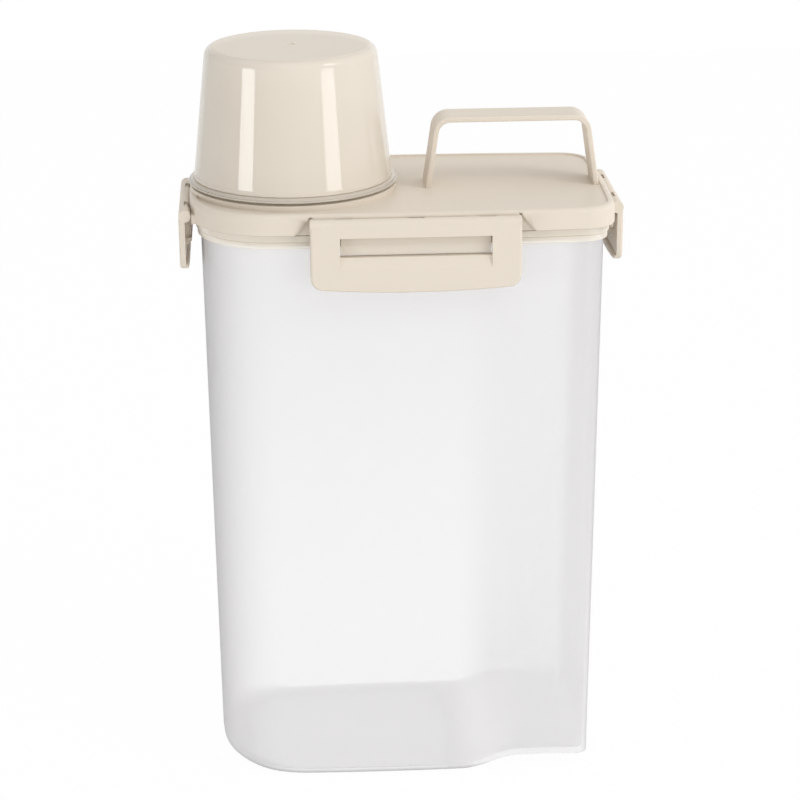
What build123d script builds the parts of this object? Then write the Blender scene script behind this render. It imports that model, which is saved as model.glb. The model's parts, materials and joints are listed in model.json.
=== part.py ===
from build123d import *
from collections import namedtuple
from math import cos, radians, sin
import os

# A grain container: a frosted box with a rounded nose, a beige lid with a pouring spout,
# a measuring cup over the spout, a strap handle and four snap latches.
# X runs along the length with the nose at -X, -Y is the front, and Z = 0 is the base.

# Container plan, outside the wall at the rim
body_length = 160.0
body_width = 90.8
side_bow = 2.8
nose_bow = 3.2
tail_bow = 1.2
nose_radius = 29.0
tail_radius = 9.0

# Container wall, floor and base
body_height = 239.6
wall = 1.8
floor = 2.0
draft = 3.0
base_round = 12.5

# Arched finger groove across the underside
groove_start = 19.0
groove_crest = 47.0
groove_rise = 8.2
groove_end_rise = 6.5

# Bead below the rim, in two steps
bead_below_rim = 4.6
bead_upper_height = 1.5
bead_upper_reach = 2.0
bead_lower_height = 2.4
bead_lower_reach = 1.3

# Lid
gasket_height = 2.4
lid_plate = 2.2
panel_recess = 0.8
rim_flat = 0.8
lid_edge_round = 2.0
lid_overhang = 4.0
skirt = 2.2
skirt_depth = 8.5
plug_gap = 0.7
plug_rib = 1.6
plug_depth = 11.5
gasket_gap = 0.1
bracket_depth = 14.5

# Spout, its collar and the measuring cup
cup_x = -42.2
spout_radius = 30.0
spout_wall = 1.8
spout_height = 35.0
spout_slope = 12.0
collar_radius = 36.6
collar_wall = 2.4
collar_height = 7.8
seal_groove = 1.0
seal_height = 2.4
seal_fit = 0.05
ledge_radius = 40.4
ledge_height = 2.7
cup_clearance = 0.3
cup_height = 54.8
cup_rim_radius = 42.0
cup_rim_step = 0.8
cup_rim_lower = 2.4
cup_rim_upper = 1.4
cup_foot_radius = 39.6
cup_top_radius = 34.1
cup_wall = 1.6
cup_roof = 1.8
cup_edge_round = 4.0
cup_rim_round = 0.4
gate_radius = 1.6
gate_depth = 0.4

# Handle strap
handle_x = 45.6
handle_foot_span = 70.2
handle_top_span = 62.0
handle_rise = 28.8
handle_depth = 16.4
handle_strap = 2.2
handle_bend = 7.0
handle_socket = 1.2
handle_fit = 0.1
handle_edge_round = 0.6

# Latches: hinge, flap, slot and hook
barrel_radius = 2.4
hinge_gap = 0.3
rod_radius = 0.9
rod_play = 0.06
lug_radius = 1.5
lug_width = 6.0
lug_gap = 0.3
lug_neck = 1.2
lug_neck_angle = 38.0
lug_mouth = 1.5
lug_mouth_angle = 135.0
seat_cut = 1.0
seat_margin = 0.4
side_hinge_drop = 3.8
end_hinge_drop = 5.4
side_latch_x = 3.9
side_latch_width = 82.0
side_slot_width = 59.0
side_lug_pitch = 28.0
end_latch_width = 54.0
end_slot_width = 32.0
end_lug_pitch = 30.0
flap = 2.4
side_flap_below_bead = 17.0
end_flap_below_bead = 15.0
flap_corner = 5.0
flap_crown = 1.8
flap_edge_round = 1.0
pull_lip = 1.2
pull_lip_height = 3.6
pull_lip_round = 1.1
slot_above_bead = 5.3
hook_below_bead = 2.7
hook_reach = 2.4
hook_tip = 1.0
hook_root = 5.5
hook_margin = 2.0
slope_drop = 4.4
slope_depth = 1.4

# Locking tabs, turned down from the container's bead
tab_gap = 0.6
tab_clearance = 0.5
tab_wall = 1.5
tab_web = 1.5
tab_step = 0.5
tab_step_height = 2.3
tab_above_step = 0.4
tab_side_gap = 1.5

# Heights that follow from the sizes above
bead_top = body_height - bead_below_rim
bead_step = bead_top - bead_upper_height
bead_bottom = bead_step - bead_lower_height
plate_bottom = body_height + gasket_height
panel_top = plate_bottom + lid_plate
lid_top = panel_top + panel_recess
skirt_bottom = lid_top - skirt_depth
ledge_top = panel_top + ledge_height
cup_bottom = ledge_top + cup_clearance
cup_top = cup_bottom + cup_height
side_flap_bottom = bead_bottom - side_flap_below_bead
end_flap_bottom = bead_bottom - end_flap_below_bead
slot_top = bead_bottom + slot_above_bead
hook_top = bead_bottom - hook_below_bead
tab_top = bead_step + tab_above_step
tab_bottom = hook_top + tab_clearance

# Hinge lines: each plane has X along the rod, Y towards the lid and Z up
seat_to_axis = hinge_gap + barrel_radius
side_seat = body_width / 2 + lid_overhang - seat_cut
end_seat = body_length / 2 + lid_overhang - seat_cut
side_hinge_y = side_seat + seat_to_axis
end_hinge_x = end_seat + seat_to_axis
side_hinge_z = lid_top - side_hinge_drop
end_hinge_z = lid_top - end_hinge_drop
front_hinge = Plane((side_latch_x, -side_hinge_y, side_hinge_z), x_dir=(1, 0, 0), z_dir=(0, 0, 1))
back_hinge = Plane((side_latch_x, side_hinge_y, side_hinge_z), x_dir=(-1, 0, 0), z_dir=(0, 0, 1))
right_hinge = Plane((end_hinge_x, 0, end_hinge_z), x_dir=(0, 1, 0), z_dir=(0, 0, 1))
left_hinge = Plane((-end_hinge_x, 0, end_hinge_z), x_dir=(0, -1, 0), z_dir=(0, 0, 1))
side_lugs = [-side_lug_pitch, 0.0, side_lug_pitch]
end_lugs = [-end_lug_pitch / 2, end_lug_pitch / 2]
Latch = namedtuple("Latch", "hinge width slot_width flap_bottom lugs")
side_sizes = (side_latch_width, side_slot_width, side_flap_bottom, side_lugs)
end_sizes = (end_latch_width, end_slot_width, end_flap_bottom, end_lugs)
latches = {
    "front_latch": Latch(front_hinge, *side_sizes),
    "back_latch": Latch(back_hinge, *side_sizes),
    "left_latch": Latch(left_hinge, *end_sizes),
    "right_latch": Latch(right_hinge, *end_sizes),
}

os.makedirs("parts", exist_ok=True)


def across(hinge, place=0.0):
    """The plane square to a hinge line, place along it: its X points at the lid, its Y up."""
    return Plane(hinge.origin + hinge.x_dir * place, x_dir=hinge.y_dir, z_dir=hinge.x_dir)


def facing(hinge, inward=0.0):
    """The upright plane along a hinge line, seen from outside and moved inward."""
    return Plane(hinge.origin + hinge.y_dir * inward, x_dir=hinge.x_dir, z_dir=-hinge.y_dir)


def plan(height, grow):
    """The container's plan at a height, with every side moved out by grow."""
    half_length = body_length / 2 + grow
    half_width = body_width / 2 + grow
    corner_y = half_width - side_bow
    nose_x = nose_bow - half_length
    tail_x = half_length - tail_bow
    with BuildSketch(Plane.XY.offset(height)) as shape:
        with BuildLine():
            ThreePointArc((nose_x, -corner_y), (0, -half_width), (tail_x, -corner_y))
            ThreePointArc((tail_x, -corner_y), (half_length, 0), (tail_x, corner_y))
            ThreePointArc((tail_x, corner_y), (0, half_width), (nose_x, corner_y))
            ThreePointArc((nose_x, corner_y), (-half_length, 0), (nose_x, -corner_y))
        make_face()
        fillet(shape.vertices().sort_by(Axis.X)[:2], nose_radius + grow)
        fillet(shape.vertices().sort_by(Axis.X)[-2:], tail_radius + grow)
    return shape.sketch


def groove_section(lift, bottom):
    """What lies under the groove's arch in the length direction, raised by lift."""
    middle_x = (groove_start + groove_crest) / 2
    end_x = body_length / 2 + bead_upper_reach
    with BuildSketch(Plane.XZ) as shape:
        with BuildLine():
            rise = TangentArc((groove_start, lift), (middle_x, lift + groove_rise / 2), tangent=(1, 0))
            crest = TangentArc(rise @ 1, (groove_crest, lift + groove_rise), tangent=rise % 1)
            fall = TangentArc(crest @ 1, (end_x, lift + groove_end_rise), tangent=crest % 1)
            Polyline(fall @ 1, (end_x, bottom), (groove_start, bottom), rise @ 0)
        make_face()
    return shape.sketch


# Space for the grain: the inside of the wall and floor, with the groove's arch standing up in it
with BuildPart() as grain_space:
    loft([plan(floor, -draft - wall), plan(body_height, -wall)], ruled=True)
    fillet(grain_space.faces().sort_by(Axis.Z)[0].edges(), base_round - wall)
    extrude(groove_section(floor, 0), amount=body_width, both=True, mode=Mode.SUBTRACT)

# Container: drafted outer wall, bead, tabs and finger groove, then hollowed
with BuildPart() as container_body:
    loft([plan(0, -draft), plan(body_height, 0)], ruled=True)
    fillet(container_body.faces().sort_by(Axis.Z)[0].edges(), base_round)
    extrude(groove_section(0, -floor), amount=body_width, both=True, mode=Mode.SUBTRACT)
    extrude(plan(bead_bottom, bead_lower_reach), amount=bead_lower_height)
    extrude(plan(bead_step, bead_upper_reach), amount=bead_upper_height)
    for latch in latches.values():
        drop = latch.hinge.origin.Z
        web_reach = seat_to_axis + lid_overhang + wall
        with BuildSketch(across(latch.hinge)):
            with BuildLine():
                Polyline(
                    (tab_gap, tab_top - drop),
                    (tab_gap, tab_top - tab_step_height - drop),
                    (tab_gap + tab_step, tab_top - tab_step_height - drop),
                    (tab_gap + tab_step, tab_bottom - drop),
                    (tab_gap + tab_wall, tab_bottom - drop),
                    (tab_gap + tab_wall, tab_top - tab_web - drop),
                    (web_reach, tab_top - tab_web - drop),
                    (web_reach, tab_top - drop),
                    close=True,
                )
            make_face()
        extrude(amount=latch.slot_width / 2 - tab_side_gap, both=True)
    add(grain_space.part, mode=Mode.SUBTRACT)
container_body.part.label = "container_body"
export_step(container_body.part, "parts/container_body.step")

# Gasket: a silicone ring between the container's rim and the lid's channel
with BuildPart() as lid_gasket:
    extrude(plan(body_height, lid_overhang - skirt - gasket_gap), amount=gasket_height)
    extrude(plan(body_height, gasket_gap - wall - plug_gap), amount=gasket_height, mode=Mode.SUBTRACT)
lid_gasket.part.label = "lid_gasket"
export_step(lid_gasket.part, "parts/lid_gasket.step")


def handle_section(spread):
    """The strap's outline from the front, with its faces moved out by spread."""
    foot = panel_top - handle_socket
    top = panel_top + handle_rise
    lean = (handle_foot_span - handle_top_span) / 2 / handle_rise
    foot_half = handle_foot_span / 2 + lean * handle_socket + spread
    top_half = handle_top_span / 2 + spread
    thick = handle_strap + 2 * spread
    with BuildSketch(Plane.XZ) as shape:
        with BuildLine():
            Polyline(
                (handle_x - foot_half, foot),
                (handle_x - top_half, top + spread),
                (handle_x + top_half, top + spread),
                (handle_x + foot_half, foot),
                close=True,
            )
        make_face()
        fillet(shape.vertices().sort_by(Axis.Y)[-2:], handle_bend + spread)
        with BuildSketch(Plane.XZ, mode=Mode.PRIVATE) as inside:
            with BuildLine():
                Polyline(
                    (handle_x - foot_half + thick, foot),
                    (handle_x - top_half + thick, top + spread - thick),
                    (handle_x + top_half - thick, top + spread - thick),
                    (handle_x + foot_half - thick, foot),
                    close=True,
                )
            make_face()
            fillet(inside.vertices().sort_by(Axis.Y)[-2:], handle_bend - handle_strap - spread)
        add(inside.sketch_local, mode=Mode.SUBTRACT)
    return shape.sketch


# Handle: one strap bent down into two legs, with its feet set in the lid's sockets
with BuildPart() as handle:
    extrude(handle_section(0), amount=handle_depth / 2, both=True)
    strap_edges = handle.edges().filter_by(Axis.Y, reverse=True).group_by(Axis.Z)[1:]
    fillet(ShapeList(edge for level in strap_edges for edge in level), handle_edge_round)
handle.part.label = "handle"
export_step(handle.part, "parts/handle.step")

# Lid: skirt, panel, plug rib, cup ledge, collar, spout, latch seats and hinge clips
cup_axis = Axis((cup_x, 0, 0), (0, 0, 1))
cup_plane = Plane((cup_x, 0, 0), x_dir=(1, 0, 0), z_dir=(0, -1, 0))
spout_top = panel_top + spout_height
with BuildPart() as lid:
    extrude(plan(skirt_bottom, lid_overhang), amount=skirt_depth)
    fillet(lid.faces().sort_by(Axis.Z)[-1].edges(), lid_edge_round)
    # Squared bracket that carries the nose latch on the rounded end
    bracket_top = end_hinge_z + seat_margin
    with BuildSketch(Plane.XY.offset(skirt_bottom)):
        with Locations((-end_seat, 0)):
            Rectangle(bracket_depth, end_latch_width, align=(Align.MIN, Align.CENTER))
    extrude(amount=bracket_top - skirt_bottom)
    # Flat seats behind the four hinge barrels
    for latch in latches.values():
        with BuildSketch(facing(latch.hinge, seat_to_axis)):
            with Locations((0, barrel_radius + seat_margin)):
                Rectangle(latch.width + 2 * seat_margin, skirt_depth, align=(Align.CENTER, Align.MAX))
        extrude(amount=seat_to_axis, mode=Mode.SUBTRACT)
    # Hollow under the plate and the sunk panel on top
    skirt_inside = plan(skirt_bottom, lid_overhang - skirt)
    extrude(skirt_inside, amount=plate_bottom - skirt_bottom, mode=Mode.SUBTRACT)
    panel_grow = lid_overhang - lid_edge_round - rim_flat
    extrude(plan(panel_top, panel_grow), amount=panel_recess, mode=Mode.SUBTRACT)
    # Plug rib inside the container's mouth
    extrude(plan(plate_bottom - plug_depth, -wall - plug_gap), amount=plug_depth)
    extrude(
        plan(plate_bottom - plug_depth, -wall - plug_gap - plug_rib),
        amount=plug_depth,
        mode=Mode.SUBTRACT,
    )
    # Ledge and collar that the cup sits on, and the spout with its slanted lip
    with BuildSketch(Plane.XY.offset(panel_top)):
        with Locations((cup_x, 0)):
            Circle(ledge_radius)
    extrude(amount=ledge_height)
    with BuildSketch(Plane.XY.offset(panel_top)):
        with Locations((cup_x, 0)):
            Circle(collar_radius)
    extrude(amount=collar_height)
    with BuildSketch(Plane.XY.offset(panel_top)):
        with Locations((cup_x, 0)):
            Circle(collar_radius - collar_wall)
    extrude(amount=collar_height, mode=Mode.SUBTRACT)
    with BuildSketch(cup_plane):
        with Locations((collar_radius, panel_top + collar_height / 2)):
            Rectangle(2 * seal_groove, seal_height)
    revolve(axis=cup_axis, mode=Mode.SUBTRACT)
    with BuildSketch(Plane.XY.offset(panel_top)):
        with Locations((cup_x, 0)):
            Circle(spout_radius)
    extrude(amount=spout_height + spout_radius)
    with BuildSketch(Plane.XY.offset(plate_bottom)):
        with Locations((cup_x, 0)):
            Circle(spout_radius - spout_wall)
    extrude(amount=lid_plate + spout_height + spout_radius, mode=Mode.SUBTRACT)
    lip_tilt = radians(spout_slope)
    lip = Plane((cup_x, 0, spout_top), z_dir=(sin(lip_tilt), 0, cos(lip_tilt)))
    split(bisect_by=lip, keep=Keep.BOTTOM)
    # Sockets for the handle's feet
    extrude(handle_section(handle_fit), amount=handle_depth / 2 + handle_fit, both=True, mode=Mode.SUBTRACT)
    # Hinge clips: open rings on slanted necks
    for latch in latches.values():
        for place in latch.lugs:
            with BuildSketch(across(latch.hinge, place)):
                Circle(lug_radius)
                with Locations(Rotation(0, 0, -lug_neck_angle)):
                    neck_length = (seat_to_axis + seat_cut) / cos(radians(lug_neck_angle))
                    Rectangle(neck_length, lug_neck, align=(Align.MIN, Align.CENTER))
                Circle(rod_radius + rod_play, mode=Mode.SUBTRACT)
                with Locations(Rotation(0, 0, lug_mouth_angle)):
                    Rectangle(2 * lug_radius, lug_mouth, align=(Align.MIN, Align.CENTER), mode=Mode.SUBTRACT)
            extrude(amount=lug_width / 2, both=True)
lid.part.label = "lid"
export_step(lid.part, "parts/lid.step")

# Spout gasket: a silicone ring in the collar's groove, just inside the cup's wall
cup_slope = (cup_foot_radius - cup_top_radius) / (cup_height - cup_rim_lower - cup_rim_upper)
seal_top = panel_top + collar_height / 2 + seal_height / 2
seal_rise = seal_top - cup_bottom - cup_rim_lower - cup_rim_upper
seal_radius = cup_foot_radius - cup_slope * max(seal_rise, 0) - cup_wall - cup_clearance
with BuildPart() as spout_gasket:
    with BuildSketch(Plane.XY.offset(seal_top - seal_height)):
        with Locations((cup_x, 0)):
            Circle(seal_radius)
            Circle(collar_radius - seal_groove + seal_fit, mode=Mode.SUBTRACT)
    extrude(amount=seal_height)
spout_gasket.part.label = "spout_gasket"
export_step(spout_gasket.part, "parts/spout_gasket.step")

# Measuring cup: turned over the spout, with a stepped rim and a drafted wall
with BuildPart() as measuring_cup:
    rim_mid = cup_bottom + cup_rim_lower
    rim_top = rim_mid + cup_rim_upper
    with BuildSketch(cup_plane) as cup_profile:
        with BuildLine():
            Polyline(
                (0, cup_top),
                (cup_top_radius, cup_top),
                (cup_foot_radius, rim_top),
                (cup_rim_radius - cup_rim_step, rim_top),
                (cup_rim_radius - cup_rim_step, rim_mid),
                (cup_rim_radius, rim_mid),
                (cup_rim_radius, cup_bottom),
                (cup_foot_radius - cup_wall, cup_bottom),
                (cup_foot_radius - cup_wall, rim_top),
                (cup_top_radius - cup_wall + cup_slope * cup_roof, cup_top - cup_roof),
                (0, cup_top - cup_roof),
                close=True,
            )
        make_face()
        fillet(cup_profile.vertices().group_by(Axis.Y)[-1].sort_by(Axis.X)[-1], cup_edge_round)
        fillet(cup_profile.vertices().group_by(Axis.X)[-1], cup_rim_round)
    revolve(axis=cup_axis)
    with BuildSketch(Plane.XY.offset(cup_top)):
        with Locations((cup_x, 0)):
            Circle(gate_radius)
    extrude(amount=-gate_depth, mode=Mode.SUBTRACT)
measuring_cup.part.label = "measuring_cup"
export_step(measuring_cup.part, "parts/measuring_cup.step")


def flap_outline(plane, width, bottom, top):
    """A flap from the front: rounded lower corners and a lower edge that bellies down."""
    low_corner = bottom + flap_crown
    with BuildSketch(plane) as shape:
        with BuildLine():
            low = ThreePointArc((-width / 2, low_corner), (0, bottom), (width / 2, low_corner))
            Polyline(low @ 1, (width / 2, top), (-width / 2, top), low @ 0)
        make_face()
        fillet(shape.vertices().sort_by(Axis.Y)[:2], flap_corner)
    return shape.sketch


def snap_latch(hinge, width, slot_width, flap_bottom, lugs):
    """One latch in place: a flap under its hinge barrel, a slot and the hook below it."""
    section = across(hinge)
    front = facing(hinge)
    drop = hinge.origin.Z
    bottom = flap_bottom - drop
    inner_face = facing(hinge, flap - barrel_radius)
    with BuildPart() as latch:
        extrude(flap_outline(inner_face, width, bottom, 0), amount=flap)
        outer_face = latch.faces().filter_by(front).sort_by(Axis(hinge.origin, hinge.y_dir))[0]
        fillet(outer_face.edges().sort_by(Axis.Z)[:-1], flap_edge_round)
        with BuildSketch(section):
            Circle(barrel_radius)
        extrude(amount=width / 2, both=True)
        # Thickened lip along the lower edge, for the finger
        with BuildSketch(inner_face):
            add(flap_outline(Plane.XY, width, bottom, 0))
            with Locations((0, bottom + pull_lip_height)):
                Rectangle(width, -bottom, align=(Align.CENTER, Align.MIN), mode=Mode.SUBTRACT)
        extrude(amount=-pull_lip)
        lip_face = latch.faces().filter_by(front).sort_by(Axis(hinge.origin, hinge.y_dir))[-1]
        fillet(lip_face.edges(), pull_lip_round)
        # Hook behind the flap, hollow underneath
        with BuildSketch(section):
            with BuildLine():
                under = TangentArc(
                    (0, hook_top - hook_root - drop),
                    (hook_reach, hook_top - hook_tip - drop),
                    tangent=(0, 1),
                )
                Polyline(
                    under @ 1,
                    (hook_reach, hook_top - drop),
                    (-barrel_radius + slope_depth, hook_top - drop),
                    (-barrel_radius + slope_depth, hook_top - hook_root - drop),
                    under @ 0,
                )
            make_face()
        extrude(amount=slot_width / 2 + hook_margin, both=True)
        # Slot over the tab, with the face sloping in to its lower edge
        with BuildSketch(front):
            with Locations((0, slot_top - drop)):
                Rectangle(slot_width, slot_top - hook_top, align=(Align.CENTER, Align.MAX))
        extrude(amount=width, both=True, mode=Mode.SUBTRACT)
        with BuildSketch(section):
            with BuildLine():
                Polyline(
                    (-barrel_radius, hook_top - slope_drop - drop),
                    (-barrel_radius, hook_top - drop),
                    (-barrel_radius + slope_depth, hook_top - drop),
                    close=True,
                )
            make_face()
        extrude(amount=slot_width / 2, both=True, mode=Mode.SUBTRACT)
        # Windows for the lid's clips, each crossed by the hinge rod
        for place in lugs:
            with BuildSketch(across(hinge, place)):
                Circle(lug_radius + lug_gap)
                with Locations((-hinge_gap, 0)):
                    Rectangle(2 * barrel_radius, 2 * barrel_radius, align=(Align.MIN, Align.MIN))
                Rectangle(2 * barrel_radius, 2 * barrel_radius, align=(Align.MIN, Align.MAX))
            extrude(amount=lug_width / 2 + lug_gap, both=True, mode=Mode.SUBTRACT)
            with BuildSketch(across(hinge, place)):
                Circle(rod_radius)
            extrude(amount=lug_width / 2 + 2 * lug_gap, both=True)
    return latch.part


# Latches: two long ones on the sides and two short ones on the ends
for name, sizes in latches.items():
    latch_part = snap_latch(*sizes)
    latch_part.label = name
    export_step(latch_part, f"parts/{name}.step")
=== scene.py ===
import json
from math import atan2, cos, pi, radians, sin, tan

import bmesh
import bpy
from mathutils import Matrix, Vector


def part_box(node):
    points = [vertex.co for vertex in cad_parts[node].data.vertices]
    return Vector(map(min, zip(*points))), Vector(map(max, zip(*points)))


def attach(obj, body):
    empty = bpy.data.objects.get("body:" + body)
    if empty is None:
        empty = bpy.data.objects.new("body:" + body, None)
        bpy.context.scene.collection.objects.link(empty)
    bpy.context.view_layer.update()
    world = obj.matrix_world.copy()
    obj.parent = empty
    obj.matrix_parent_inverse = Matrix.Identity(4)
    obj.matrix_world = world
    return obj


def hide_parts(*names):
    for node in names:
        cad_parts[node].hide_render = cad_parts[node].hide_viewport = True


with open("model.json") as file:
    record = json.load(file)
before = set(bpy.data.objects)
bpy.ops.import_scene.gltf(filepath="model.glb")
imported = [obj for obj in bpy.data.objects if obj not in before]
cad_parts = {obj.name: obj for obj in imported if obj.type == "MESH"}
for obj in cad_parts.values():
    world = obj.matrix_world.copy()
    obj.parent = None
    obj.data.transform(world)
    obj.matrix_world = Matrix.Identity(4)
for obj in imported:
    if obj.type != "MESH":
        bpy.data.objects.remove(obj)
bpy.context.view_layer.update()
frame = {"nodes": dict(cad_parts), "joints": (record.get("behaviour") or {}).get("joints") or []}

# Container: one thin moulding in frosted see-through polypropylene. Its wall leans in towards the base, a
# stepped bead and four locking tabs stand out under the rim, and an arch for the fingers crosses the
# underside near the tail.
mm = 0.001
body_length = 160 * mm
body_width = 90.8 * mm
side_bow = 2.8 * mm
nose_bow = 3.2 * mm
tail_bow = 1.2 * mm
nose_radius = 29 * mm
tail_radius = 9 * mm
tightest_corner = 0.5 * mm
side_steps = 44
end_steps = 20
nose_steps = 20
tail_steps = 12
rim_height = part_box("container_body")[1].z
wall = 1.8 * mm
floor_thick = 2 * mm
draft = 3 * mm
nose_base_round = 12.5 * mm
side_base_round = 5 * mm
nose_floor_round = 10.5 * mm
side_floor_round = 2 * mm
nose_ends = -42 * mm
nose_starts = -72 * mm
bead_bottom = rim_height - 9 * mm
bead_step = rim_height - 6.1 * mm
bead_top = rim_height - 3.5 * mm
bead_lower_reach = 1.3 * mm
bead_upper_reach = 2 * mm
bead_notch = 0.5 * mm
moulded_edge = 0.35 * mm
arch_start = 19 * mm
arch_crest = 47 * mm
arch_rise = 6.8 * mm
arch_end_rise = 4.8 * mm
arch_edge = 2 * mm
base_margin = 2 * mm
base_hole = 0.02
base_steps = 24
arc_steps = 12


def circle_through(a, b, c):
    """Centre and radius of the circle through three points of the plan."""
    ab, ac = b - a, c - a
    turn = 2 * (ab.x * ac.y - ab.y * ac.x)
    across = Vector((ac.y * ab.dot(ab) - ab.y * ac.dot(ac), ab.x * ac.dot(ac) - ac.x * ab.dot(ab))) / turn
    return a + across, across.length


def corner_centre(first, second, radius, near):
    """Centre of the corner arc that runs smoothly into two side arcs."""
    (c1, r1), (c2, r2) = first, second
    reach1, reach2 = r1 - radius, r2 - radius
    line = c2 - c1
    along = (line.length_squared + reach1 ** 2 - reach2 ** 2) / (2 * line.length)
    height = max(reach1 ** 2 - along ** 2, 0) ** 0.5
    foot = c1 + line.normalized() * along
    side = Vector((-line.y, line.x)).normalized() * height
    return min((foot + side, foot - side), key=lambda point: (point - near).length)


def ring(grow, height):
    """Points round the container's plan at a height, with every side moved out by grow."""
    half_length = body_length / 2 + grow
    half_width = body_width / 2 + grow
    corner_y = half_width - side_bow
    nose_x, tail_x = nose_bow - half_length, half_length - tail_bow
    corners = [Vector(p) for p in ((nose_x, -corner_y), (tail_x, -corner_y), (tail_x, corner_y), (nose_x, corner_y))]
    middles = [Vector(p) for p in ((0, -half_width), (half_length, 0), (0, half_width), (-half_length, 0))]
    sides = [circle_through(corners[k], middles[k], corners[(k + 1) % 4]) for k in range(4)]
    radii = [max(r + grow, tightest_corner) for r in (nose_radius, tail_radius, tail_radius, nose_radius)]
    rounds = [corner_centre(sides[k - 1], sides[k], radii[k], corners[k]) for k in range(4)]
    side_counts = (side_steps, end_steps, side_steps, end_steps)
    corner_counts = (nose_steps, tail_steps, tail_steps, nose_steps)
    points = []
    for k in range(4):
        centre, radius = sides[k]
        before, after = rounds[k] - centre, rounds[(k + 1) % 4] - centre
        last_side = rounds[k] - sides[k - 1][0]
        angle_in = atan2(last_side.y, last_side.x)
        angle_out = atan2(before.y, before.x)
        angle_end = atan2(after.y, after.x)
        spans = (
            (rounds[k], radii[k], angle_in, angle_out, corner_counts[k]),
            (centre, radius, angle_out, angle_end, side_counts[k]),
        )
        for middle, reach, start, end, count in spans:
            sweep = (end - start) % (2 * pi)
            for step in range(count):
                angle = start + sweep * step / count
                points.append(Vector((middle.x + reach * cos(angle), middle.y + reach * sin(angle), height)))
    return points


def rounded(corners, steps=4):
    """A section's corners as (across, up, radius), turned into points with an arc at each inner corner."""
    points = [Vector(corners[0][:2])]
    for before, corner, after in zip(corners, corners[1:], corners[2:]):
        tip, radius = Vector(corner[:2]), corner[2]
        to_before = (Vector(before[:2]) - tip).normalized()
        to_after = (Vector(after[:2]) - tip).normalized()
        if radius == 0:
            points.append(tip)
            continue
        half = to_before.angle(to_after) / 2
        centre = tip + (to_before + to_after).normalized() * radius / sin(half)
        start = tip + to_before * radius / tan(half) - centre
        end = tip + to_after * radius / tan(half) - centre
        sweep = start.angle(end)
        for step in range(steps + 1):
            share = step / steps
            points.append(centre + (start * sin((1 - share) * sweep) + end * sin(share * sweep)) / sin(sweep))
    points.append(Vector(corners[-1][:2]))
    return points


def shrunk(points, share):
    """A ring drawn in towards the upright middle line at its own height."""
    return [Vector((point.x * share, point.y * share, point.z)) for point in points]


def loft(shape, rings, closed=False):
    """Quads between rings of equal count. An open loft gets a face over its first and last ring."""
    levels = [[shape.verts.new(point) for point in points] for points in rings]
    pairs = list(zip(levels, levels[1:])) + ([(levels[-1], levels[0])] if closed else [])
    for lower, upper in pairs:
        for k in range(len(lower)):
            shape.faces.new((lower[k - 1], lower[k], upper[k], upper[k - 1]))
    if not closed:
        shape.faces.new(reversed(levels[0]))
        shape.faces.new(levels[-1])


def prism(shape, section, place, half_width):
    """A section of (inward, up) points carried along a hinge line to both sides of its middle."""
    ends = []
    for side in (-half_width, half_width):
        ends.append([place["at"] + place["along"] * side + place["inward"] * u + Vector((0, 0, v)) for u, v in section])
    loft(shape, ends)


def smooth_faces(thing, shape, sharp_angle=40):
    """Gives an object its finished shape: normals outward, curves smooth and flat faces kept flat."""
    bmesh.ops.recalc_face_normals(shape, faces=shape.faces)
    shape.to_mesh(thing.data)
    shape.free()
    thing.data.shade_smooth()
    thing.data.set_sharp_from_angle(angle=radians(sharp_angle))
    even = thing.modifiers.new("flat_faces", "WEIGHTED_NORMAL")
    even.keep_sharp = True


def piece(name, shape):
    """A new object from a finished shape."""
    thing = bpy.data.objects.new(name, bpy.data.meshes.new(name))
    bpy.context.scene.collection.objects.link(thing)
    smooth_faces(thing, shape)
    return thing


def arch_lift(x):
    """How far the arch raises the base at a place along the length."""
    if x <= arch_start:
        return 0
    if x <= arch_crest:
        return arch_rise * (0.5 - 0.5 * cos(pi * (x - arch_start) / (arch_crest - arch_start)))
    fall = (x - arch_crest) / (body_length / 2 - arch_crest)
    return arch_rise - (arch_rise - arch_end_rise) * fall ** 2


hinges = {}
for joint in frame["joints"]:
    if joint["type"] == "hinge":
        axis = Vector(joint["axis"])
        inward = axis.cross(Vector((0, 0, 1)))
        hinges[joint["child"]] = {"at": Vector(joint["pos_m"]), "along": axis, "inward": inward}
long_latches = ("front_latch", "back_latch")


def lifted(points, floor_height):
    """A ring pushed up wherever the arch stands higher than it does, with a soft edge."""
    for point in points:
        arch = arch_lift(point.x)
        over = point.z - floor_height - arch
        soft = arch_edge * arch / arch_rise
        point.z = floor_height + arch + (over + (over * over + soft * soft) ** 0.5) / 2
    return points


base_flat = nose_base_round + draft + base_margin


def outer_rings(base_round):
    """Rings from the base, up the outer wall and over the bead, to the middle of the rim."""
    section = rounded([
        (-base_flat, 0, 0),
        (-draft, 0, base_round),
        (-draft * (1 - bead_bottom / rim_height), bead_bottom, moulded_edge),
        (bead_lower_reach, bead_bottom, moulded_edge),
        (bead_lower_reach, bead_step - bead_notch, moulded_edge),
        (bead_lower_reach - bead_notch, bead_step, moulded_edge / 4),
        (bead_upper_reach, bead_step, moulded_edge),
        (bead_upper_reach, bead_top, moulded_edge),
        (-draft * (1 - bead_top / rim_height), bead_top, moulded_edge),
        (0, rim_height, moulded_edge),
        (-wall / 2, rim_height, 0),
    ], steps=arc_steps)
    return [ring(spot.x, spot.y) for spot in section]


def inner_rings(floor_round):
    """Rings from the rim down the inner wall to the floor."""
    section = rounded([
        (-wall / 2, rim_height, 0),
        (-wall, rim_height, moulded_edge),
        (-draft - wall, floor_thick, floor_round),
        (-base_flat - wall, floor_thick, 0),
    ], steps=arc_steps)
    return [ring(spot.x, spot.y) for spot in section[1:]]


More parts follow.
